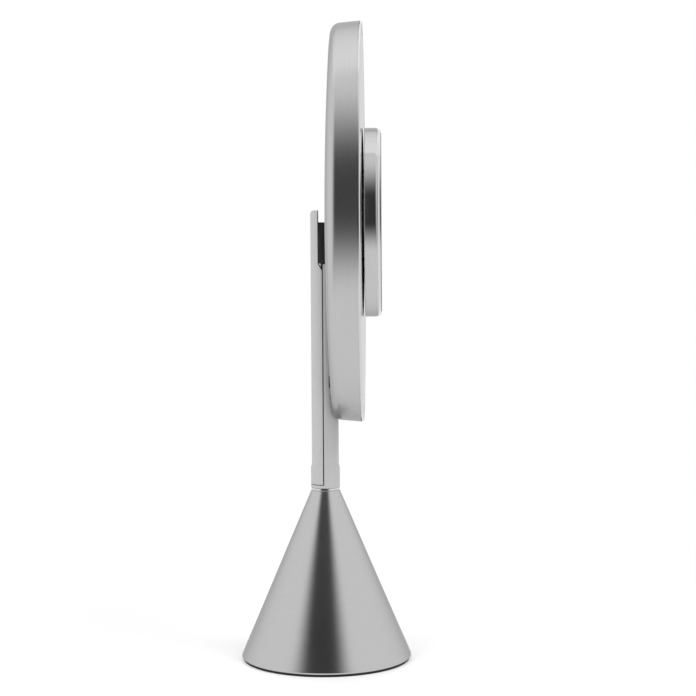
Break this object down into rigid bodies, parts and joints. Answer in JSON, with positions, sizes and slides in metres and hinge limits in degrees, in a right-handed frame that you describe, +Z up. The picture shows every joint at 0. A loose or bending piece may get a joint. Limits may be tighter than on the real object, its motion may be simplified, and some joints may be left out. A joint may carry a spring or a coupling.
{
  "type": "lighted makeup mirror",
  "caption": "Round lighted head with a small round mirror standing off its front, tilting on a slim stem over a weighted cone base.",
  "frame": {"origin": "on the table under the stem's axis, at the centre of the foot pad's underside", "axes": "+Z up, -Y the way the mirror faces, +X to the right of someone who looks into the mirror"},
  "size_m": [0.254, 0.1102, 0.4076],
  "materials": {
    "brushed_nickel": "brushed nickel plate on spun aluminium",
    "polished_nickel": "polished nickel plate",
    "plain_steel": "plain zinc-plated steel",
    "cast_weight": "rough casting",
    "black_steel": "black painted steel",
    "black_plastic": "moulded, fine matt grain",
    "black_rubber": "matt",
    "white_plastic": "white moulded sheet",
    "opal_diffuser": "opal acrylic, satin",
    "clear_acrylic": "clear acrylic",
    "circuit_board": "solder mask",
    "cell_jacket": "printed-free plastic sleeve on a dry cell",
    "mirror_glass": "silvered glass",
    "grey_foam": "closed-cell foam",
    "lead_insulation": "PVC insulation"
  },
  "bodies": {
    "stand": {"foot_pad": "black_rubber", "base_cone": "brushed_nickel", "base_plate": "plain_steel", "base_ballast": "cast_weight", "tie_rod": "plain_steel", "tie_washer": "plain_steel", "tie_nut": "plain_steel", "base_screw_1": "plain_steel", "base_screw_2": "plain_steel", "base_screw_3": "plain_steel", "stem_ring": "polished_nickel", "stem_body": "brushed_nickel", "battery_tray": "black_plastic", "contact_spring": "plain_steel", "cell_1": "cell_jacket", "cell_2": "cell_jacket", "cell_3": "cell_jacket", "contact_top": "plain_steel", "hinge_bracket": "black_steel", "stem_lead": "lead_insulation"},
    "cover": {"rear_cover": "brushed_nickel"},
    "head": {"head_housing": "brushed_nickel", "channel_liner": "black_plastic", "hinge_ear_right": "plain_steel", "hinge_ear_left": "plain_steel", "hinge_pin": "plain_steel", "friction_washer_right": "black_plastic", "friction_washer_left": "black_plastic", "hinge_clip": "plain_steel", "ear_screw_1": "plain_steel", "ear_screw_2": "plain_steel", "ear_screw_3": "plain_steel", "ear_screw_4": "plain_steel", "carrier_plate": "white_plastic", "carrier_screw_1": "plain_steel", "carrier_screw_2": "plain_steel", "carrier_screw_3": "plain_steel", "spacer_ring": "black_plastic", "reflector_sheet": "white_plastic", "light_guide": "clear_acrylic", "led_ring": "white_plastic", "diffuser": "opal_diffuser", "trim_ring": "polished_nickel", "control_board": "circuit_board", "board_screw_1": "plain_steel", "board_screw_2": "plain_steel", "tact_switch": "black_plastic", "head_lead": "lead_insulation", "mirror_post": "plain_steel", "post_screw_1": "plain_steel", "post_screw_2": "plain_steel", "post_screw_3": "plain_steel", "mirror_shell": "brushed_nickel", "mirror_screw": "plain_steel", "mirror_pad": "grey_foam", "mirror_glass": "mirror_glass", "mirror_gasket": "black_rubber", "mirror_bezel": "polished_nickel"},
    "button": {"power_button": "black_rubber"}
  },
  "joints": [
    {"name": "head_tilt", "type": "hinge", "parent": "stand", "child": "head", "pos_m": [0, -0.0086, 0.2806], "axis": [-1, 0, 0], "range_deg": [0, 45]},
    {"name": "power_button_press", "type": "slide", "parent": "head", "child": "button", "axis": [0, -1, 0], "range_m": [0, 0.001], "stiffness_N_per_m": 600, "springref_m": -0.0015},
    {"name": "rear_cover_pull", "type": "slide", "parent": "stand", "child": "cover", "axis": [0, 1, 0], "range_m": [0, 0.03]}
  ]
}
